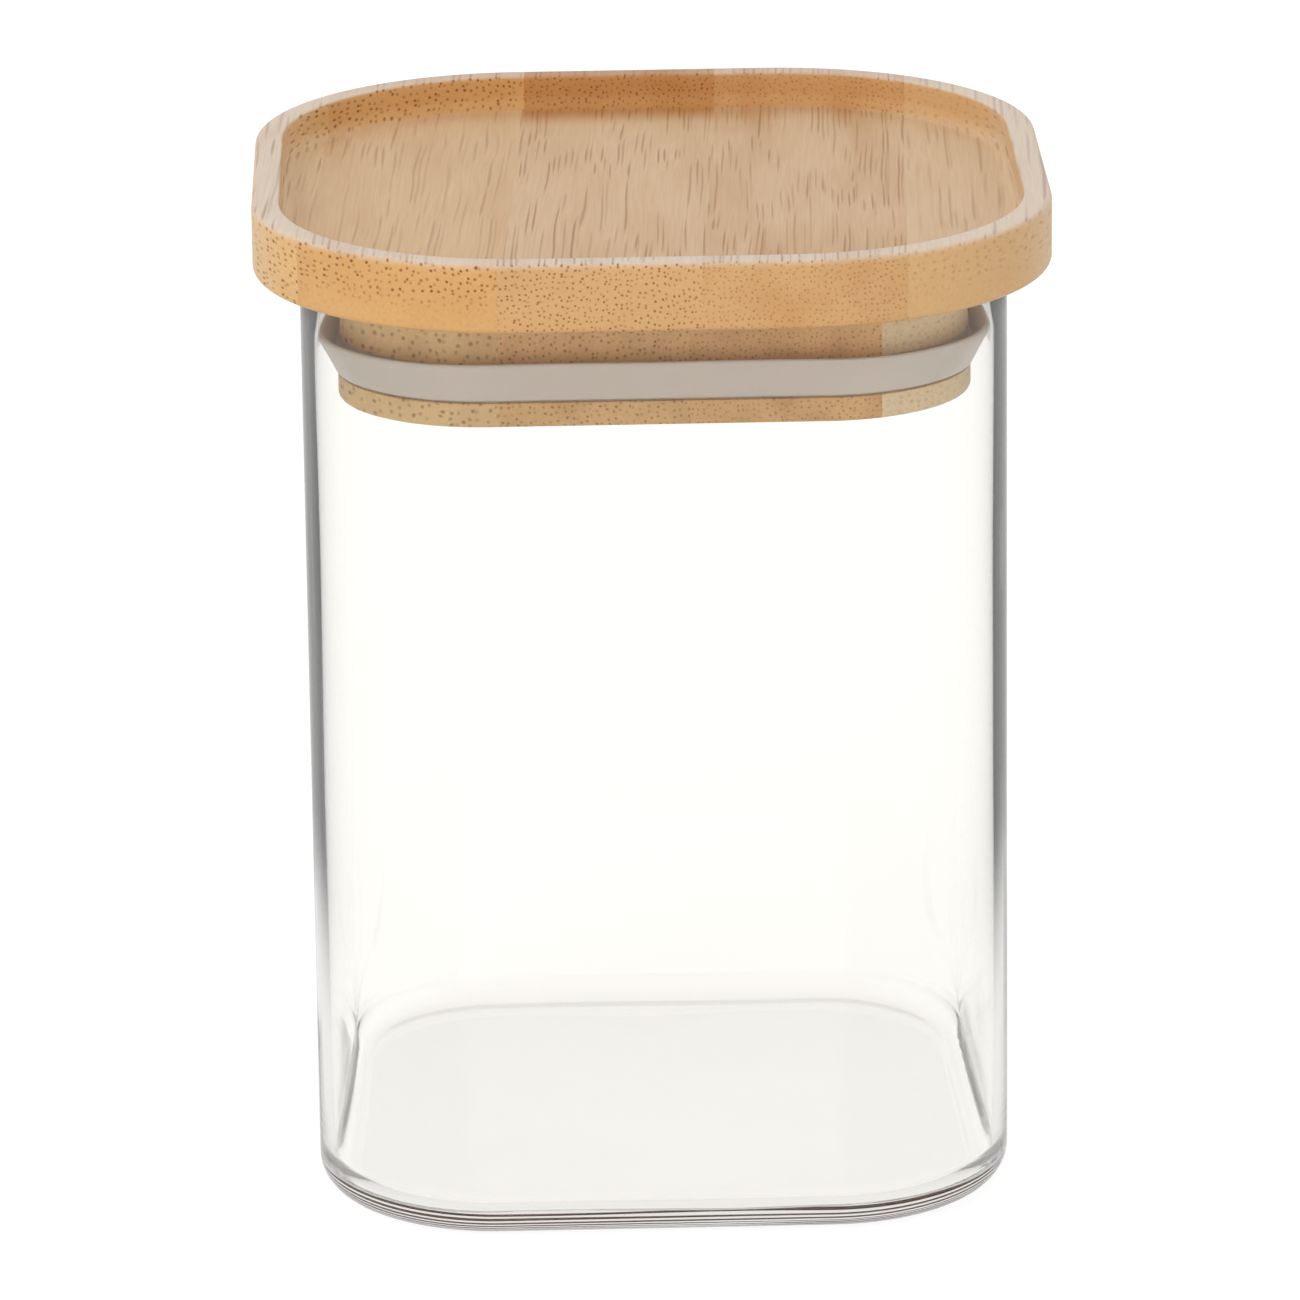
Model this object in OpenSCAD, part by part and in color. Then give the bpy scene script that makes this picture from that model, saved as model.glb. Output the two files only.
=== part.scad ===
// Square glass spice jar with a push-in bamboo lid, in millimetres.
// The origin is the centre of the face that the jar stands on, and +Z is up.
// The jar, the plug and the gasket share four corner centres, so their corners stay concentric.

/* [Glass jar] */
// Width of the jar across its flat sides
jar_w = 70.6; // [62:0.1:90]
// Height of the jar from the table to its rim
jar_h = 96; // [60:0.5:160]
// Radius of the jar's upright corners, outside
jar_corner_r = 18.5; // [16:0.1:24]
// Thickness of the glass wall
wall_t = 1.4; // [1.1:0.1:2.5]
// Thickness of the glass floor
floor_t = 2.2; // [1.5:0.1:5]
// Round between the wall and the floor, outside
foot_round = 3.5; // [2:0.1:6]
// Round between the wall and the floor, inside
heel_round = 3; // [1:0.1:6]
// Round on both edges of the fire-polished rim
rim_round = 0.5; // [0.1:0.05:0.5]

/* [Lid board] */
// How far the lid stands out past the glass all round
lid_overhang = 4.7; // [3:0.1:8]
// Radius of the lid's corners, seen from above
lid_corner_r = 27; // [18:0.5:30]
// Thickness of the lid board
board_t = 7; // [5.5:0.1:12]
// Round on the board's outer edges
board_round = 0.7; // [0.2:0.05:1.5]
// Width of the rim left round the tray
tray_rim = 2.8; // [2:0.1:6]
// Depth of the tray routed in the board's top
tray_depth = 3.5; // [2:0.1:4]
// Cove between the tray's wall and its floor
tray_cove = 1.5; // [0.3:0.1:1.8]

/* [Bamboo strips] */
// Angle of the glue joints to the lid's sides, in degrees
joint_slant = 2.7; // [0:0.1:5]
// Width of the board's leftmost strip, cut narrow by the lid's outline
board_left_w = 6.1; // [4:0.1:12]
// Width of the board's rightmost strip, cut narrow by the lid's outline
board_right_w = 13.9; // [8:0.1:20]
// Width of the plug's leftmost strip
plug_left_w = 17.4; // [10:0.1:20]
// Width of the plug's rightmost strip
plug_right_w = 8.2; // [5:0.1:15]

/* [Lid plug] */
// Gap between the plug and the glass, which the gasket spans
plug_gap = 2.3; // [1.5:0.1:4]
// How deep the plug reaches below the board
plug_depth = 11.6; // [9.5:0.1:20]
// Thickness of the flange below the gasket's groove
flange_t = 2.5; // [1.5:0.1:5]
// Round on the flange's lower edge
flange_round = 0.5; // [0.1:0.05:1]
// Height of the gasket's groove
groove_h = 3.9; // [3:0.1:5.5]
// Depth of the gasket's groove
groove_depth = 2.2; // [1.5:0.1:4]

/* [Gasket] */
// Gap between the gasket and the bottom of its groove
gasket_root_gap = 0.1; // [0.05:0.05:0.3]
// Gap between the gasket's lip and the glass
lip_gap = 0.3; // [0.2:0.05:0.6]
// How far the gasket's band stands out of its groove
band_out = 0.3; // [0.1:0.05:1]
// How far the lip's tip stands above the groove
lip_rise = 0.6; // [0:0.1:2]
// Thickness of the lip at its tip
lip_tip_t = 0.5; // [0.3:0.05:1]
// Thickness of the lip at its root, measured up the band
lip_root_t = 2.4; // [1.5:0.1:2.8]

/* [Hidden] */
$fn = 96;

// Distance of the shared corner centres from the jar's axis
centre_c = jar_w / 2 - jar_corner_r;
// Corner radii about those centres, from the glass inwards
inner_r = jar_corner_r - wall_t;
plug_r = inner_r - plug_gap;
groove_r = plug_r - groove_depth;
band_r = groove_r + gasket_root_gap;
tip_r = inner_r - lip_gap;

// Half of the lid's width, and the corner centres of the lid board
lid_half = jar_w / 2 + lid_overhang;
lid_c = lid_half - lid_corner_r;
tray_r = lid_corner_r - tray_rim;

// Heights above the table
board_z = jar_h;
tray_z = board_z + board_t - tray_depth;
plug_z = board_z - plug_depth;
groove_z = plug_z + flange_t;
groove_top_z = groove_z + groove_h;
tip_z = groove_top_z + lip_rise;

// Whole strips between the two edge strips, which share what is left of the width
board_whole = 3;
plug_whole = 2;
plug_half = centre_c + plug_r;
board_whole_w = (2 * lid_half - board_left_w - board_right_w) / board_whole;
plug_whole_w = (2 * plug_half - plug_left_w - plug_right_w) / plug_whole;

// A distance from the middle that lies past the lid on every side
beyond = 2 * lid_half;
// Glue joints from left to right; the edge strips run out past the lid's sides
board_joints = [
    -beyond,
    for (i = [0 : board_whole]) board_left_w - lid_half + i * board_whole_w,
    beyond
];
plug_joints = [
    -beyond,
    for (i = [0 : plug_whole]) plug_left_w - plug_half + i * plug_whole_w,
    beyond
];

// Tones of the bamboo strips, from left to right
board_tones = ["#d9b27e", "#d3a368", "#cfa26c", "#d0a066", "#cfab78"];
plug_tones = ["#c99a63", "#b98c5f", "#bd8c58", "#c7a67f"];

// Makes a body with four rounded corners from one profile, which is drawn from the corner centre outwards
module round_square(c) {
    for (side = [0 : 3])
        rotate([0, 0, 90 * side]) {
            translate([c, c, 0])
                rotate_extrude(angle = 90)
                    children();
            translate([c, c, 0])
                rotate([90, 0, 0])
                    linear_extrude(2 * c)
                        children();
        }
}

// Fills the square between the four corner centres
module round_square_core(c, z, h) {
    translate([-c, -c, z])
        cube([2 * c, 2 * c, h]);
}

// Profile from the corner centre to radius r between two heights, with its outer edges rounded
module slab_profile(r, z, h, low_round, high_round) {
    translate([0, z + low_round])
        square([r, h - low_round - high_round]);
    if (low_round > 0) {
        translate([0, z])
            square([r - low_round, low_round]);
        translate([r - low_round, z + low_round])
            circle(low_round);
    }
    if (high_round > 0) {
        translate([0, z + h - high_round])
            square([r - high_round, high_round]);
        translate([r - high_round, z + h - high_round])
            circle(high_round);
    }
}

// Profile of a hollow that opens upwards, with a round between its wall and its floor
module hollow_profile(r, z, h, low_round) {
    slab_profile(r, z, h, low_round, 0);
}

module glass_profile() {
    difference() {
        slab_profile(jar_corner_r, 0, jar_h - 2 * rim_round, foot_round, 0);
        hollow_profile(inner_r, floor_t, jar_h, heel_round);
    }
    translate([inner_r, jar_h - 2 * rim_round])
        square([wall_t, rim_round]);
    translate([inner_r + rim_round, jar_h - rim_round])
        square([wall_t - 2 * rim_round, rim_round]);
    for (r = [inner_r + rim_round, jar_corner_r - rim_round])
        translate([r, jar_h - rim_round])
            circle(rim_round);
}

module glass_jar() {
    color("#e4efec", 0.35) {
        round_square(centre_c)
            glass_profile();
        round_square_core(centre_c, 0, floor_t);
    }
}

// The board before it is cut into its strips
module board_blank() {
    round_square(lid_c)
        difference() {
            slab_profile(lid_corner_r, board_z, board_t, board_round, board_round);
            hollow_profile(tray_r, tray_z, board_t, tray_cove);
        }
    round_square_core(lid_c, board_z, board_t - tray_depth);
}

// The plug before it is cut into its strips
module plug_blank() {
    round_square(centre_c)
        difference() {
            slab_profile(plug_r, plug_z, plug_depth, flange_round, 0);
            translate([groove_r, groove_z])
                square([plug_r, groove_h]);
        }
    round_square_core(centre_c, plug_z, plug_depth);
}

// Space of one strip, between two glue joints
module strip_space(joints, i) {
    rotate([0, 0, -joint_slant])
        translate([joints[i - 1], -beyond, 0])
            cube([joints[i] - joints[i - 1], 2 * beyond, board_z + beyond]);
}

module lid_strip(i) {
    color(board_tones[i - 1])
        intersection() {
            board_blank();
            strip_space(board_joints, i);
        }
}

module plug_strip(i) {
    color(plug_tones[i - 1])
        intersection() {
            plug_blank();
            strip_space(plug_joints, i);
        }
}

// The gasket's band sits in the groove, and its lip flares upwards to the glass
module gasket() {
    color("#c9c2ba")
        round_square(centre_c)
            polygon([
                [band_r, groove_z],
                [plug_r + band_out, groove_z],
                [tip_r, tip_z - lip_tip_t],
                [tip_r, tip_z],
                [tip_r - lip_tip_t, tip_z],
                [plug_r + band_out, groove_z + lip_root_t],
                [plug_r - band_out, groove_z + lip_root_t],
                [plug_r - band_out, groove_top_z],
                [band_r, groove_top_z]
            ]);
}

glass_jar();
gasket();
lid_strip(1);  // lid_strip_1
lid_strip(2);  // lid_strip_2
lid_strip(3);  // lid_strip_3
lid_strip(4);  // lid_strip_4
lid_strip(5);  // lid_strip_5
plug_strip(1);  // plug_strip_1
plug_strip(2);  // plug_strip_2
plug_strip(3);  // plug_strip_3
plug_strip(4);  // plug_strip_4
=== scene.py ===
import math

import bmesh
import bpy
from mathutils import Matrix, Vector, noise


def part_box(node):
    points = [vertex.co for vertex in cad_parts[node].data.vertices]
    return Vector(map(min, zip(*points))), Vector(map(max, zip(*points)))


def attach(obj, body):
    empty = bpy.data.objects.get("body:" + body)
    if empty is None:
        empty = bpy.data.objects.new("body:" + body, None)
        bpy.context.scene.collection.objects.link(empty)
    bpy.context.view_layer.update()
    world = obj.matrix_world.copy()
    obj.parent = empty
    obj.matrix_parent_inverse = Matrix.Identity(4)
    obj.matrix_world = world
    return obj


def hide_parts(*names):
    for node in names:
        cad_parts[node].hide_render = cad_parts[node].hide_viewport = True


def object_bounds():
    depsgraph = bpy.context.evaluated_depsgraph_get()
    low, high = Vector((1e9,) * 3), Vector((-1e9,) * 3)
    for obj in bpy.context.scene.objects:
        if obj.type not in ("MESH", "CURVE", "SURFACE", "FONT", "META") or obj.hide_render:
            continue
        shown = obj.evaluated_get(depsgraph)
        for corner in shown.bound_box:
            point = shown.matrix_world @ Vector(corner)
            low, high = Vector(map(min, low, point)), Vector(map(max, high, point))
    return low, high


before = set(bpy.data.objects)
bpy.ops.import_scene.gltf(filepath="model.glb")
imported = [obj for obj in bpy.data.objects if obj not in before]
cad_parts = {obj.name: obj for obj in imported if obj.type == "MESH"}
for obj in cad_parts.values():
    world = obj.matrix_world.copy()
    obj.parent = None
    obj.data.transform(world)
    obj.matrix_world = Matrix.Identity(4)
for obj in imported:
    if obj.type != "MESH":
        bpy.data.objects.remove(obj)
cad_low, cad_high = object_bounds()

# Glass jar: clear borosilicate glass, blown square with rounded corners, its rim fire-polished.
# The wall is drawn as a line from a corner centre outwards, then swept round the four corners.
MM = 0.001
jar_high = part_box("glass_jar")[1]
jar_corner_r = 18.5 * MM
wall_t = 1.4 * MM
floor_t = 2.2 * MM
foot_round = 3.5 * MM
heel_round = 3.0 * MM
rim_round = 0.5 * MM
# The plug and the gasket are swept round these corner centres too.
centre_c = jar_high.x - jar_corner_r
inner_r = jar_corner_r - wall_t
glass_side_cuts = 20
turn_steps = 24
merge_gap = 0.002 * MM


def line_to(bm, vert, x, z, cuts=1):
    """Draws a straight line from vert to x, z and returns its last vertex."""
    start = vert.co.copy()
    for step in range(1, cuts + 1):
        vert = bmesh.ops.extrude_vert_indiv(bm, verts=[vert])["verts"][0]
        vert.co = start.lerp(Vector((x, 0, z)), step / cuts)
    return vert


def arc_about(bm, vert, x, z, degrees, steps):
    """Draws an arc from vert about x, z; positive degrees turn from +X towards +Z."""
    spun = bmesh.ops.spin(bm, geom=[vert], cent=(x, 0, z), axis=(0, -1, 0),
                          angle=math.radians(degrees), steps=steps)
    return [item for item in spun["geom_last"] if isinstance(item, bmesh.types.BMVert)][0]


def sweep_round_square(bm, corner, side_cuts, corner_steps):
    """Sweeps the drawn line along four sides and round four corner centres, and merges the seams.
    The centres lie as far from the axis as corner says, both in x and in y."""
    bmesh.ops.translate(bm, verts=bm.verts, vec=(corner, -corner, 0))
    geom = bm.verts[:] + bm.edges[:]
    for side in range(4):
        along = Matrix.Rotation(math.radians(90 * side), 3, "Z")
        step = along @ Vector((0, 2 * corner / side_cuts, 0))
        geom = bmesh.ops.spin(bm, geom=geom, cent=(0, 0, 0), axis=(0, 0, 1), dvec=step,
                              angle=0, steps=side_cuts)["geom_last"]
        centre = along @ Vector((corner, corner, 0))
        geom = bmesh.ops.spin(bm, geom=geom, cent=centre, axis=(0, 0, 1),
                              angle=math.radians(90), steps=corner_steps)["geom_last"]
    bmesh.ops.remove_doubles(bm, verts=bm.verts, dist=merge_gap)


def fill_core(bm, corner, side_cuts, heights):
    """Closes the square between the corner centres at each height."""
    for z in heights:
        bmesh.ops.create_grid(bm, x_segments=side_cuts, y_segments=side_cuts, size=corner,
                              matrix=Matrix.Translation((0, 0, z)))
    bmesh.ops.remove_doubles(bm, verts=bm.verts, dist=merge_gap)
    bmesh.ops.dissolve_degenerate(bm, edges=bm.edges, dist=merge_gap / 2)
    bmesh.ops.recalc_face_normals(bm, faces=bm.faces)


def piece_from(bm, name, sharp_degrees=40):
    """Turns a bmesh into a smooth object whose edges stay sharp past an angle."""
    for face in bm.faces:
        face.smooth = True
    for edge in bm.edges:
        edge.smooth = edge.calc_face_angle(0) < math.radians(sharp_degrees)
    mesh = bpy.data.meshes.new(name)
    bm.to_mesh(mesh)
    bm.free()
    piece = bpy.data.objects.new(name, mesh)
    bpy.context.scene.collection.objects.link(piece)
    return piece


def linear(colour):
    """An sRGB hex colour as linear RGBA."""
    parts = [int(colour[i:i + 2], 16) / 255 for i in (1, 3, 5)]
    return [p / 12.92 if p <= 0.04045 else ((p + 0.055) / 1.055) ** 2.4 for p in parts] + [1]


def new_material(name):
    """A material with one Principled shader, and that shader."""
    material = bpy.data.materials.new(name)
    material.use_nodes = True
    return material, material.node_tree.nodes["Principled BSDF"]


glass_bm = bmesh.new()
pen = glass_bm.verts.new((0, 0, 0))
pen = line_to(glass_bm, pen, jar_corner_r - foot_round, 0, cuts=6)
pen = arc_about(glass_bm, pen, jar_corner_r - foot_round, foot_round, 90, steps=16)
pen = line_to(glass_bm, pen, jar_corner_r, jar_high.z - rim_round, cuts=24)
pen = arc_about(glass_bm, pen, jar_corner_r - rim_round, jar_high.z - rim_round, 90, steps=8)
pen = line_to(glass_bm, pen, inner_r + rim_round, jar_high.z)
pen = arc_about(glass_bm, pen, inner_r + rim_round, jar_high.z - rim_round, 90, steps=8)
pen = line_to(glass_bm, pen, inner_r, floor_t + heel_round, cuts=24)
pen = arc_about(glass_bm, pen, inner_r - heel_round, floor_t + heel_round, -90, steps=16)
pen = line_to(glass_bm, pen, 0, floor_t, cuts=6)
sweep_round_square(glass_bm, centre_c, glass_side_cuts, turn_steps)
fill_core(glass_bm, centre_c, glass_side_cuts, (0, floor_t))

# Blown glass is never quite even: its inner face waves by a few hundredths of a millimetre.
# A point lies on that face once it is past inner_share of the glass, and the rim stays still.
wall_wave = 0.06 * MM
floor_wave = 0.16 * MM
glass_wave_length = 19 * MM
inner_share = 0.6
still_rim = 4 * MM
above_floor_z = floor_t + heel_round / 10
glass_bm.normal_update()
for vert in glass_bm.verts:
    nearest_x = max(-centre_c, min(centre_c, vert.co.x))
    nearest_y = max(-centre_c, min(centre_c, vert.co.y))
    reach = math.hypot(vert.co.x - nearest_x, vert.co.y - nearest_y)
    inside_wall = reach < jar_corner_r - inner_share * wall_t
    if inside_wall and inner_share * floor_t < vert.co.z < jar_high.z - still_rim:
        wave = floor_wave if vert.co.z < above_floor_z else wall_wave
        vert.co += vert.normal * noise.noise(vert.co / glass_wave_length) * wave

glass_jar = piece_from(glass_bm, "jar_of_clear_glass")

# Borosilicate glass has an IOR of 1.47 and no tint that the eye sees through one wall. Blowing leaves
# its skin perfectly smooth, and its edges gather the light, so only they look grey.
glass_finish, glass_shader = new_material("clear borosilicate glass")
glass_shader.inputs["Base Color"].default_value = linear("#fffefc")
glass_shader.inputs["Transmission Weight"].default_value = 1
glass_shader.inputs["Roughness"].default_value = 0
glass_shader.inputs["IOR"].default_value = 1.47
glass_jar.data.materials.append(glass_finish)
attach(glass_jar, "jar")
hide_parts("glass_jar")

# Lid plug: four strips of bamboo glued edge to edge and glued under the lid board.
# A cutter milled the gasket's groove all round it, and its lower edge is eased with sandpaper.
plug_low, plug_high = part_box("plug_strip_2")
plug_gap = 2.3 * MM
flange_t = 2.5 * MM
flange_round = 0.5 * MM
groove_h = 3.9 * MM
groove_depth = 2.2 * MM
groove_edge = 0.12 * MM
plug_left_w = 17.4 * MM
plug_right_w = 8.2 * MM
plug_whole_strips = 2
joint_slant = math.radians(2.7)
plug_r = inner_r - plug_gap
groove_r = plug_r - groove_depth
groove_z = plug_low.z + flange_t
groove_top_z = groove_z + groove_h
plug_side_cuts = 4
cut_gap = 0.0001 * MM
strip_sharp_degrees = 30

plug_bm = bmesh.new()
pen = plug_bm.verts.new((0, 0, plug_low.z))
pen = line_to(plug_bm, pen, plug_r - 2 * flange_round, plug_low.z)
pen = line_to(plug_bm, pen, plug_r - flange_round, plug_low.z)
pen = arc_about(plug_bm, pen, plug_r - flange_round, plug_low.z + flange_round, 90, steps=6)
pen = line_to(plug_bm, pen, plug_r, groove_z - groove_edge)
pen = arc_about(plug_bm, pen, plug_r - groove_edge, groove_z - groove_edge, 90, steps=2)
pen = line_to(plug_bm, pen, groove_r, groove_z)
pen = line_to(plug_bm, pen, groove_r, groove_top_z)
pen = line_to(plug_bm, pen, plug_r - groove_edge, groove_top_z)
pen = arc_about(plug_bm, pen, plug_r - groove_edge, groove_top_z + groove_edge, 90, steps=2)
pen = line_to(plug_bm, pen, plug_r, plug_high.z)
pen = line_to(plug_bm, pen, 0, plug_high.z)
sweep_round_square(plug_bm, centre_c, plug_side_cuts, turn_steps)
fill_core(plug_bm, centre_c, plug_side_cuts, (plug_low.z, plug_high.z))

# The finish is bamboo sanded along its grain. It has a satin sheen, and its hard fibre bundles show
# as dark dots on sawn ends and as short streaks where a face cuts them at a low angle.
# Brown for the culm's patches and fibres, and for the painted shade at each strip's back
browned_and_shaded_wood = "#b5793c"
bundle_brown = "#864814"
# The pale tint of long-grain faces: the grain's own colour and a painted sheen
long_grain_and_sheen_wood = "#e2cdb0"
# The pale tint of the painted sheen on the rim's top
painted_sheen_wood = "#e3d8cb"
# Each pattern's size is given across the strip, along it and upwards. Single fibres are about
# 0.02 mm wide, too fine to show, so the hair between the bundles is drawn 0.25 mm wide.
wander_size = (6.667 * MM, 35.71 * MM, 6.667 * MM)
cloud_size = (5.263 * MM, 26.32 * MM, 5.263 * MM)
hair_size = (0.25 * MM, 11.11 * MM, 0.25 * MM)
wander_reach = 1.6 * MM
noise_middle = (0.5, 0.5, 0.5)
# A step between the patterns of two strips, and the two ways in which their grain leans
seed_step = (13.7 * MM, 0, 7.1 * MM)
grain_leans = (math.radians(-1.15), math.radians(1.3))
# A bundle's dark core and its soft edge, as shares of the spacing between bundles
bundle_core = 0.1
bundle_edge = 0.29
bundle_scatter = 0.75
palest_bundle = 0.35
# Heights between which the board's bundles crowd, its painted rim sheen comes in, and its polish rises
crowd_from_z = plug_high.z + 1.5 * MM
crowd_to_z = plug_high.z + 4.5 * MM
sheen_from_z = cad_high.z - 0.7 * MM
sheen_to_z = cad_high.z - 0.1 * MM
polish_from_z = cad_high.z - 0.8 * MM
# A painted shade, darker and browner towards each strip's back, comes in between two distances behind the
# jar's axis.
back_shade_from_y = 29 * MM
back_shade_to_y = 36.5 * MM
# Levels of the noise between which the browned patches and the fine fibres come in
cloud_levels = (0.42, 0.78)
hair_levels = (0.3, 0.75)
# A face counts as sawn by the cosine of its angle to the grain.
sawn_cosines = (0.1, 0.6)
long_grain_and_sheen_share = 0.5
sheen_share = 0.65
hair_share = 0.22
sanded_roughness = 0.55
rubbed_roughness = 0.38
fibre_relief = 0.02 * MM
# The Mix node's colour sockets, which share their names with its number sockets
mix_a = 6
mix_b = 7
mix_result = 2


def add(tree, kind, inputs=None, **settings):
    """Adds a node, sets its properties, and fills its inputs with values or links."""
    node = tree.nodes.new(kind)
    for name, value in settings.items():
        setattr(node, name, value)
    for name, value in (inputs or {}).items():
        if isinstance(value, bpy.types.NodeSocket):
            tree.links.new(value, node.inputs[name])
        else:
            node.inputs[name].default_value = value
    return node


def glue_joints(half_w, left_w, right_w, whole_strips):
    """Where the glue joints lie, left to right: equal strips between two narrower edge strips."""
    whole_w = (2 * half_w - left_w - right_w) / whole_strips
    return [left_w - half_w + number * whole_w for number in range(whole_strips + 1)]


def cut_strip(blank, left, right):
    """A copy of the glued-up blank, cut along its glue joints and closed again."""
    strip = blank.copy()
    across = Vector((math.cos(joint_slant), -math.sin(joint_slant), 0))
    for joint, side in ((left, -1), (right, 1)):
        if joint is None:
            continue
        geom = strip.verts[:] + strip.edges[:] + strip.faces[:]
        bmesh.ops.bisect_plane(strip, geom=geom, dist=cut_gap, plane_co=across * joint,
                               plane_no=across * side, clear_outer=True)
        open_edges = [edge for edge in strip.edges if edge.is_boundary]
        bmesh.ops.holes_fill(strip, edges=open_edges, sides=0)
    bmesh.ops.recalc_face_normals(strip, faces=strip.faces)
    return strip


def stretched_noise(tree, place, sizes, detail):
    """Noise drawn out along the strip, where sizes are its lengths across, along and upwards."""
    scaled = add(tree, "ShaderNodeMapping", {
        "Vector": place,
        "Scale": [1 / size for size in sizes],
    }).outputs[0]
    return add(tree, "ShaderNodeTexNoise", {"Vector": scaled, "Scale": 1, "Detail": detail}).outputs


def follow_fibres(tree, place, seed):
    """Coordinates along the fibres, which slant with the glue joints, lean, and wander a little."""
    turned = add(tree, "ShaderNodeMapping", {
        "Vector": place,
        "Location": [seed * step for step in seed_step],
        "Rotation": (grain_leans[seed % 2], 0, joint_slant),
    }).outputs[0]
    wander = stretched_noise(tree, turned, wander_size, 2)["Color"]
    shift = add(tree, "ShaderNodeVectorMath", {0: wander, 1: noise_middle},
                operation="SUBTRACT").outputs[0]
    shift = add(tree, "ShaderNodeVectorMath", {0: shift, "Scale": wander_reach},
                operation="SCALE").outputs[0]
    return add(tree, "ShaderNodeVectorMath", {0: turned, 1: shift}, operation="ADD").outputs[0]


def bundle_darkness(tree, fibre, height, sawn, pitch, ends, streaks, low_bundles):
    """How dark the fibre bundles are, from 0 between them to 1 in the darkest."""
    parts = add(tree, "ShaderNodeSeparateXYZ", {"Vector": fibre}).outputs
    section = add(tree, "ShaderNodeCombineXYZ", {"X": parts["X"], "Y": parts["Z"]}).outputs[0]
    cells = add(tree, "ShaderNodeTexVoronoi", {
        "Vector": section,
        "Scale": 1 / pitch,
        "Randomness": bundle_scatter,
    }, voronoi_dimensions="2D").outputs
    dots = add(tree, "ShaderNodeMapRange", {
        "Value": cells["Distance"],
        "From Min": bundle_core,
        "From Max": bundle_edge,
        "To Min": 1,
        "To Max": 0,
    }, interpolation_type="SMOOTHSTEP").outputs[0]
    # No two bundles are equally dark.
    chance = add(tree, "ShaderNodeSeparateColor", {"Color": cells["Color"]}).outputs["Red"]
    chance = add(tree, "ShaderNodeMapRange", {"Value": chance, "To Min": palest_bundle}).outputs[0]
    # Bundles crowd towards the culm's skin, which is the upper face of a strip with few low bundles.
    crowd = add(tree, "ShaderNodeMapRange", {
        "Value": height,
        "From Min": crowd_from_z,
        "From Max": crowd_to_z,
        "To Min": low_bundles,
    }, interpolation_type="SMOOTHSTEP").outputs[0]
    # Sawn ends show the bundles darkest; along the grain they are faint and thin.
    strength = add(tree, "ShaderNodeMapRange", {
        "Value": sawn,
        "To Min": streaks,
        "To Max": ends,
    }).outputs[0]
    for share in (chance, crowd, strength):
        dots = add(tree, "ShaderNodeMath", {0: dots, 1: share}, operation="MULTIPLY").outputs[0]
    return dots


def brown_patches_and_back_shade(tree, fibre, depth, patches, back_shade):
    """How brown the wood is: in long soft patches from the culm's sugars, plus a painted shade towards the
    strip's back.
    """
    cloud = stretched_noise(tree, fibre, cloud_size, 3)["Fac"]
    brown = add(tree, "ShaderNodeMapRange", {
        "Value": cloud,
        "From Min": cloud_levels[0],
        "From Max": cloud_levels[1],
        "To Max": patches,
    }).outputs[0]
    shade_at_back = add(tree, "ShaderNodeMapRange", {
        "Value": depth,
        "From Min": back_shade_from_y,
        "From Max": back_shade_to_y,
        "To Max": back_shade,
    }, interpolation_type="SMOOTHSTEP").outputs[0]
    return add(tree, "ShaderNodeMath", {0: brown, 1: shade_at_back}, operation="ADD", use_clamp=True).outputs[0]


def painted_rim_sheen(tree, height, normal):
    """How much painted sheen a point has: a pale veil that only the upward top of the board's rim has."""
    # The rim's top gets a painted sheen: a pale tint on upward faces near the top.
    rubbed = add(tree, "ShaderNodeMapRange", {
        "Value": height,
        "From Min": sheen_from_z,
        "From Max": sheen_to_z,
    }).outputs[0]
    upward = add(tree, "ShaderNodeSeparateXYZ", {"Vector": normal}).outputs["Z"]
    rubbed = add(tree, "ShaderNodeMath", {0: rubbed, 1: upward},
                 operation="MULTIPLY", use_clamp=True).outputs[0]
    return add(tree, "ShaderNodeMath", {0: rubbed, 1: sheen_share}, operation="MULTIPLY").outputs[0]


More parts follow.
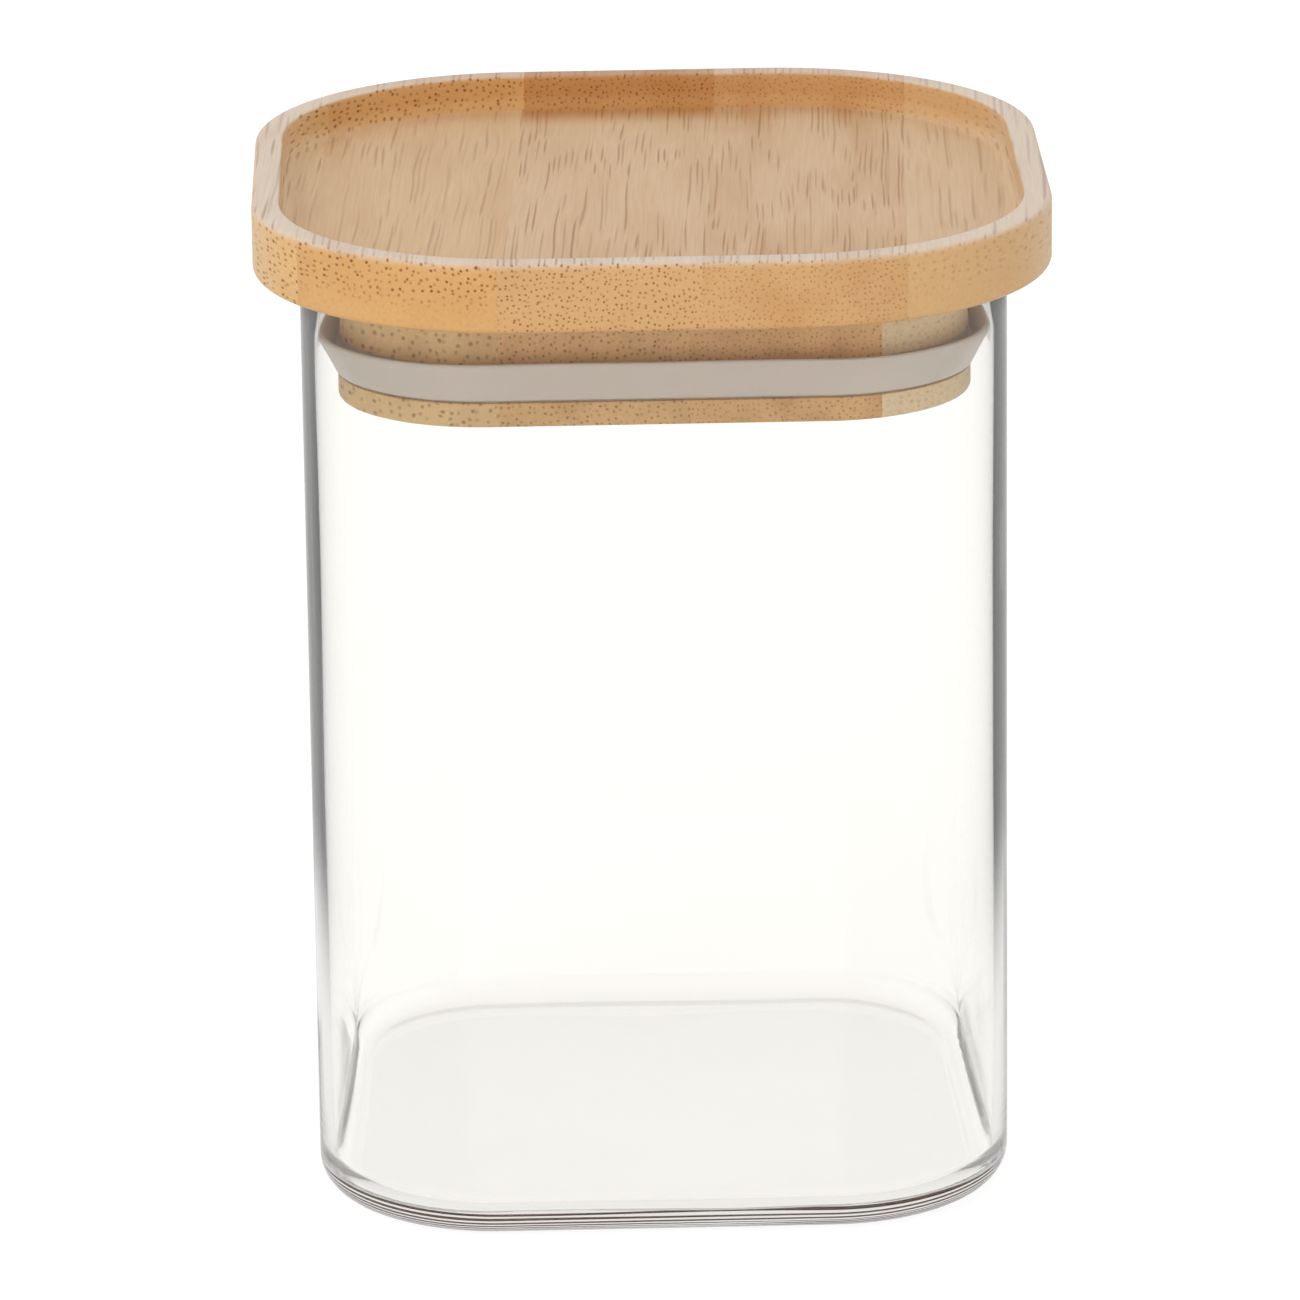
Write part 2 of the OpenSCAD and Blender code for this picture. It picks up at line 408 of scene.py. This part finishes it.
def bamboo(name, tone, seed, pitch, ends, streaks, low_bundles=1, patches=0.25, back_shade=0.25):
    """Bamboo as cut from a culm: dark fibre bundles run along the strip, about pitch apart.
    The last five values are shares: how dark the bundles are on sawn ends and in streaks, how much
    of that is left low in the strip, how brown its patches are, and how strong the painted shade at its
    back is."""
    material, shader = new_material(name)
    tree = material.node_tree
    place = add(tree, "ShaderNodeTexCoord").outputs["Object"]
    axes = add(tree, "ShaderNodeSeparateXYZ", {"Vector": place}).outputs
    fibre = follow_fibres(tree, place, seed)
    # A face is sawn where it looks along the grain, to one end or the other.
    normal = add(tree, "ShaderNodeNewGeometry").outputs["Normal"]
    grain = (math.sin(joint_slant), math.cos(joint_slant), 0)
    facing = add(tree, "ShaderNodeVectorMath", {0: normal, 1: grain},
                 operation="DOT_PRODUCT").outputs["Value"]
    facing = add(tree, "ShaderNodeMath", {0: facing}, operation="ABSOLUTE").outputs[0]
    sawn = add(tree, "ShaderNodeMapRange", {
        "Value": facing,
        "From Min": sawn_cosines[0],
        "From Max": sawn_cosines[1],
    }, interpolation_type="SMOOTHSTEP").outputs[0]
    # Faces along the grain are paler than sawn ends, partly as the long grain's own colour and partly as
    # painted sheen, and fine fibres lie between the bundles.
    long_grain_and_sheen = add(tree, "ShaderNodeMapRange", {
        "Value": sawn,
        "To Min": long_grain_and_sheen_share,
        "To Max": 0,
    }).outputs[0]
    hair = stretched_noise(tree, fibre, hair_size, 2)["Fac"]
    hair_brown = add(tree, "ShaderNodeMapRange", {
        "Value": hair,
        "From Min": hair_levels[0],
        "From Max": hair_levels[1],
        "To Max": hair_share,
    }).outputs[0]
    # Each tint is laid over the ones before it, by its share.
    layers = (
        (long_grain_and_sheen, long_grain_and_sheen_wood),
        (painted_rim_sheen(tree, axes["Z"], normal), painted_sheen_wood),
        (brown_patches_and_back_shade(tree, fibre, axes["Y"], patches, back_shade), browned_and_shaded_wood),
        (hair_brown, browned_and_shaded_wood),
        (bundle_darkness(tree, fibre, axes["Z"], sawn, pitch, ends, streaks, low_bundles), bundle_brown),
    )
    colour = linear(tone)
    for share, tint in layers:
        colour = add(tree, "ShaderNodeMix", {"Factor": share, mix_a: colour, mix_b: linear(tint)},
                     data_type="RGBA").outputs[mix_result]
    tree.links.new(colour, shader.inputs["Base Color"])
    # The rim's top is rubbed smooth, and the rest is only sanded.
    roughness = add(tree, "ShaderNodeMapRange", {
        "Value": axes["Z"],
        "From Min": polish_from_z,
        "From Max": cad_high.z,
        "To Min": sanded_roughness,
        "To Max": rubbed_roughness,
    }).outputs[0]
    tree.links.new(roughness, shader.inputs["Roughness"])
    shader.inputs["IOR"].default_value = 1.5
    bump = add(tree, "ShaderNodeBump", {"Height": hair, "Strength": 0.25, "Distance": fibre_relief})
    tree.links.new(bump.outputs[0], shader.inputs["Normal"])
    return material


def bamboo_strips(blank, name, finish, joints, looks):
    """Cuts a glued-up blank into its strips, left to right, and gives each its own bamboo."""
    limits = (None, *joints, None)
    strips = []
    for number, look in enumerate(looks, 1):
        strip_bm = cut_strip(blank, limits[number - 1], limits[number])
        strip = piece_from(strip_bm, f"bamboo_{name}_{number}", strip_sharp_degrees)
        strip.data.materials.append(bamboo(f"{finish} bamboo, {name} strip {number}", **look))
        strips.append(strip)
    blank.free()
    return strips


plug_joints = glue_joints(centre_c + plug_r, plug_left_w, plug_right_w, plug_whole_strips)
# The plug's tones are painted paler than the board's bamboo: painted light against the shade under the lid
# and inside the glass.
plug_looks_painted_paler = (
    dict(tone="#fcd79c", seed=3, pitch=0.95 * MM, ends=0.7, streaks=0.3),
    dict(tone="#facb8c", seed=6, pitch=0.7 * MM, ends=0.7, streaks=0.3, patches=0.4),
    dict(tone="#f8c688", seed=9, pitch=0.6 * MM, ends=0.6, streaks=0.3, patches=0.5),
    dict(tone="#ffe6bc", seed=12, pitch=0.8 * MM, ends=0.25, streaks=0.2, patches=0.1, back_shade=0),
)
plug_strips = bamboo_strips(plug_bm, "plug", "sanded", plug_joints, plug_looks_painted_paler)
for number, strip in enumerate(plug_strips, 1):
    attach(strip, "lid")
    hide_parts(f"plug_strip_{number}")

# Gasket: one ring of translucent silicone rubber, moulded, stretched into the plug's groove.
# Its band fills the groove above a small undercut, and its lip flares up and out to the glass.
gasket_root_gap = 0.1 * MM
band_out = 0.3 * MM
band_undercut = 0.6 * MM
undercut_h = 0.32 * MM
band_edge_round = 0.2 * MM
band_edge_degrees = 67
lip_gap = 0.3 * MM
lip_rise = 0.6 * MM
lip_tip_t = 0.5 * MM
lip_root_t = 2.4 * MM
lip_draft = 0.02 * MM
tip_degrees = 150
lip_wave = 0.12 * MM
lip_wave_length = 14 * MM
band_r = groove_r + gasket_root_gap
band_face_r = plug_r + band_out
undercut_z = groove_z + undercut_h
lip_root_z = groove_z + lip_root_t
tip_r = inner_r - lip_gap
tip_z = groove_top_z + lip_rise
tip_round = lip_tip_t / 2
gasket_side_cuts = 16

gasket_bm = bmesh.new()
first = gasket_bm.verts.new((band_r, 0, groove_z))
pen = line_to(gasket_bm, first, plug_r - band_undercut, groove_z, cuts=2)
pen = line_to(gasket_bm, pen, plug_r - band_undercut, undercut_z)
pen = line_to(gasket_bm, pen, band_face_r - band_edge_round, undercut_z, cuts=2)
pen = arc_about(gasket_bm, pen, band_face_r - band_edge_round, undercut_z + band_edge_round,
                band_edge_degrees, steps=4)
pen = line_to(gasket_bm, pen, tip_r - lip_draft, tip_z - lip_tip_t, cuts=6)
pen = line_to(gasket_bm, pen, tip_r, tip_z - tip_round)
pen = arc_about(gasket_bm, pen, tip_r - tip_round, tip_z - tip_round, tip_degrees, steps=8)
pen = line_to(gasket_bm, pen, band_face_r, lip_root_z, cuts=6)
pen = line_to(gasket_bm, pen, plug_r - band_out, lip_root_z, cuts=2)
pen = line_to(gasket_bm, pen, plug_r - band_out, groove_top_z)
pen = line_to(gasket_bm, pen, band_r, groove_top_z)
gasket_bm.edges.new((pen, first))
sweep_round_square(gasket_bm, centre_c, gasket_side_cuts, turn_steps)
bmesh.ops.recalc_face_normals(gasket_bm, faces=gasket_bm.faces)
# The soft lip waves a little, most at its tip.
for vert in gasket_bm.verts:
    lift = max(0, (vert.co.z - lip_root_z) / (tip_z - lip_root_z))
    vert.co.z += lift * lip_wave * noise.noise(vert.co / lip_wave_length)
gasket = piece_from(gasket_bm, "silicone_gasket", sharp_degrees=50)

# Undyed silicone is milky: light soaks in and comes out grey-white, and its moulded skin is satin.
mist_size = 11.11 * MM
silicone_finish, silicone_shader = new_material("translucent moulded silicone")
silicone_tree = silicone_finish.node_tree
gasket_place = add(silicone_tree, "ShaderNodeTexCoord").outputs["Object"]
mist = add(silicone_tree, "ShaderNodeTexNoise", {
    "Vector": gasket_place,
    "Scale": 1 / mist_size,
    "Detail": 2,
}).outputs["Fac"]
milk = add(silicone_tree, "ShaderNodeMix", {
    "Factor": mist,
    mix_a: linear("#f1e4d6"),
    mix_b: linear("#f8ede0"),
}, data_type="RGBA").outputs[mix_result]
silicone_tree.links.new(milk, silicone_shader.inputs["Base Color"])
silicone_shader.inputs["Roughness"].default_value = 0.4
silicone_shader.inputs["IOR"].default_value = 1.41
silicone_shader.inputs["Transmission Weight"].default_value = 0.12
gasket.data.materials.append(silicone_finish)
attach(gasket, "lid")
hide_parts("gasket")

# Lid board: five strips of bamboo glued edge to edge, cut to a rounded square, with a shallow tray
# routed in its top. Its outer edges are rounded over and it is rubbed smooth by hand.
board_low, board_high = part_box("lid_strip_3")
lid_half = cad_high.x
lid_corner_r = 27 * MM
board_round = 0.7 * MM
tray_rim = 2.8 * MM
tray_depth = 3.5 * MM
tray_cove = 1.5 * MM
rim_edge = 0.25 * MM
board_left_w = 6.1 * MM
board_right_w = 13.9 * MM
board_whole_strips = 3
lid_c = lid_half - lid_corner_r
tray_r = lid_corner_r - tray_rim
tray_z = board_high.z - tray_depth
board_side_cuts = 4
board_turn_steps = 32

board_bm = bmesh.new()
pen = board_bm.verts.new((0, 0, board_low.z))
pen = line_to(board_bm, pen, lid_corner_r - 2 * board_round, board_low.z)
pen = line_to(board_bm, pen, lid_corner_r - board_round, board_low.z)
pen = arc_about(board_bm, pen, lid_corner_r - board_round, board_low.z + board_round, 90, steps=6)
pen = line_to(board_bm, pen, lid_corner_r, board_high.z - board_round, cuts=3)
pen = arc_about(board_bm, pen, lid_corner_r - board_round, board_high.z - board_round, 90, steps=6)
pen = line_to(board_bm, pen, tray_r + rim_edge, board_high.z, cuts=3)
pen = arc_about(board_bm, pen, tray_r + rim_edge, board_high.z - rim_edge, 90, steps=4)
pen = line_to(board_bm, pen, tray_r, tray_z + tray_cove, cuts=2)
pen = arc_about(board_bm, pen, tray_r - tray_cove, tray_z + tray_cove, -90, steps=8)
pen = line_to(board_bm, pen, tray_r - 2 * tray_cove, tray_z)
pen = line_to(board_bm, pen, 0, tray_z)
sweep_round_square(board_bm, lid_c, board_side_cuts, board_turn_steps)
fill_core(board_bm, lid_c, board_side_cuts, (board_low.z, tray_z))

board_joints = glue_joints(lid_half, board_left_w, board_right_w, board_whole_strips)
board_looks = (
    dict(tone="#dcb174", seed=1, pitch=0.72 * MM, ends=1, streaks=0.5),
    dict(tone="#d4a467", seed=2, pitch=0.72 * MM, ends=1, streaks=0.5, low_bundles=0.1),
    dict(tone="#cfa36d", seed=5, pitch=0.6 * MM, ends=0.9, streaks=0.55, back_shade=0.75),
    dict(tone="#cda06a", seed=4, pitch=0.55 * MM, ends=0.55, streaks=0.5, patches=0.45),
    dict(tone="#d3aa76", seed=7, pitch=0.85 * MM, ends=0.3, streaks=0.4, low_bundles=0.2, patches=0.1),
)
board_strips = bamboo_strips(board_bm, "board", "rubbed", board_joints, board_looks)
for number, strip in enumerate(board_strips, 1):
    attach(strip, "lid")
    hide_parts(f"lid_strip_{number}")

# Studio: a floor of white paper under a white sky. The floor glows just enough for the camera to read
# as white outside the jar's soft shadow, and rays thrown off the glass meet a grey surround.
floor_half = 4
floor_drop = 0.1 * MM
glow_on_object = 0.62
glow_in_view = 0.86
surround_near = 60 * MM
surround_far = 130 * MM
surround_near_glow = 0.85
surround_far_glow = 0.07

floor_bm = bmesh.new()
bmesh.ops.create_grid(floor_bm, x_segments=1, y_segments=1, size=floor_half,
                      matrix=Matrix.Translation((0, 0, -floor_drop)))
floor = piece_from(floor_bm, "studio_floor")
floor_finish = bpy.data.materials.new("white studio paper")
floor_finish.use_nodes = True
floor_tree = floor_finish.node_tree
floor_tree.nodes.clear()
ray = add(floor_tree, "ShaderNodeLightPath").outputs
in_view = add(floor_tree, "ShaderNodeMath", {0: ray["Is Camera Ray"], 1: ray["Is Transmission Ray"]},
              operation="ADD").outputs[0]
glow_level = add(floor_tree, "ShaderNodeMapRange", {
    "Value": in_view,
    "To Min": glow_on_object,
    "To Max": glow_in_view,
}).outputs[0]
glow = add(floor_tree, "ShaderNodeEmission", {"Strength": glow_level}).outputs[0]
paper = add(floor_tree, "ShaderNodeBsdfDiffuse", {"Color": linear("#8c8c8a")}).outputs[0]
lit_paper = add(floor_tree, "ShaderNodeAddShader", {0: paper, 1: glow}).outputs[0]

# The surround is bright near the jar and dim further out.
floor_place = add(floor_tree, "ShaderNodeTexCoord").outputs["Object"]
from_axis = add(floor_tree, "ShaderNodeVectorMath", {0: floor_place}, operation="LENGTH").outputs["Value"]
surround_glow = add(floor_tree, "ShaderNodeMapRange", {
    "Value": from_axis,
    "From Min": surround_near,
    "From Max": surround_far,
    "To Min": surround_near_glow,
    "To Max": surround_far_glow,
}, interpolation_type="SMOOTHSTEP").outputs[0]
surround = add(floor_tree, "ShaderNodeEmission", {
    "Color": linear("#fffffc"),
    "Strength": surround_glow,
}).outputs[0]

# A thrown ray has been reflected, and has passed through one or two faces of the glass.
reflected = add(floor_tree, "ShaderNodeMath", {0: ray["Glossy Depth"], 1: 0.5},
                operation="GREATER_THAN").outputs[0]
one_or_two = add(floor_tree, "ShaderNodeMath", {0: ray["Transmission Depth"], 1: 1.5, 2: 1},
                 operation="COMPARE").outputs[0]
thrown = add(floor_tree, "ShaderNodeMath", {0: reflected, 1: one_or_two}, operation="MULTIPLY").outputs[0]
seen = add(floor_tree, "ShaderNodeMixShader", {0: thrown, 1: lit_paper, 2: surround}).outputs[0]
add(floor_tree, "ShaderNodeOutputMaterial", {"Surface": seen})
floor.data.materials.append(floor_finish)

sky = bpy.data.worlds.new("white studio")
sky.use_nodes = True
sky.node_tree.nodes.clear()
sky_light = add(sky.node_tree, "ShaderNodeBackground", {
    "Color": linear("#e7e7e7"),
    "Strength": 1,
}).outputs[0]
add(sky.node_tree, "ShaderNodeOutputWorld", {"Surface": sky_light})
bpy.context.scene.world = sky


def softbox(name, place, aim, width, height, watts):
    """A rectangular lamp at place, turned towards aim."""
    lamp = bpy.data.lights.new(name, "AREA")
    lamp.shape = "RECTANGLE"
    lamp.size = width
    lamp.size_y = height
    lamp.energy = watts
    holder = bpy.data.objects.new(name, lamp)
    holder.location = place
    holder.rotation_euler = (Vector(aim) - Vector(place)).to_track_quat("-Z", "Y").to_euler()
    bpy.context.scene.collection.objects.link(holder)
    return holder


# The lamps would show as hard patches in the glass, so no reflection shows them. The key lamp would
# also show through the glass, as a pale strip, so it is left out there as well.
lamp_aim = (0, 0, 0.08)
key_lamp = softbox("key_softbox", place=(-0.9, -1.1, 0.9), aim=lamp_aim, width=0.8, height=0.8, watts=7)
key_lamp.visible_glossy = False
key_lamp.visible_transmission = False
front_lamp = softbox("front_softbox", place=(0, -1.7, 0.3), aim=lamp_aim, width=1.7, height=0.8, watts=4.5)
front_lamp.visible_glossy = False

# Camera: a long lens a little above the lid, as in the photograph, which is 1300 pixels square.
# It was fitted to the outlines of the lid and the jar there.
photo_px = 1300
focal_px = 8927
centre_px = (654.2, 647.05)
sensor_mm = 36
camera_aim = Vector((0, 0, 0.0515))
camera_distance = 0.9196
camera_elevation = math.radians(17.38)
camera_azimuth = math.radians(-1.275)
camera_roll = math.radians(-0.7)

camera_data = bpy.data.cameras.new("photo_camera")
camera_data.sensor_width = sensor_mm
camera_data.lens = focal_px * sensor_mm / photo_px
camera_data.shift_x = (photo_px / 2 - centre_px[0]) / photo_px
camera_data.shift_y = (centre_px[1] - photo_px / 2) / photo_px
camera_data.clip_start = 0.01
camera_data.clip_end = 20
camera = bpy.data.objects.new("photo_camera", camera_data)
to_camera = Vector((math.sin(camera_azimuth) * math.cos(camera_elevation),
                    -math.cos(camera_azimuth) * math.cos(camera_elevation),
                    math.sin(camera_elevation)))
camera.location = camera_aim + to_camera * camera_distance
level_view = (-to_camera).to_track_quat("-Z", "Y").to_matrix()
camera.rotation_euler = (level_view @ Matrix.Rotation(camera_roll, 3, "Z")).to_euler()
bpy.context.scene.collection.objects.link(camera)
bpy.context.scene.camera = camera

bpy.context.scene.view_settings.view_transform = "Standard"

# Light runs along inside the glass floor, so it needs many bounces before it leaves.
glass_bounces = 32
bpy.context.scene.cycles.max_bounces = glass_bounces
bpy.context.scene.cycles.glossy_bounces = glass_bounces
bpy.context.scene.cycles.transmission_bounces = glass_bounces
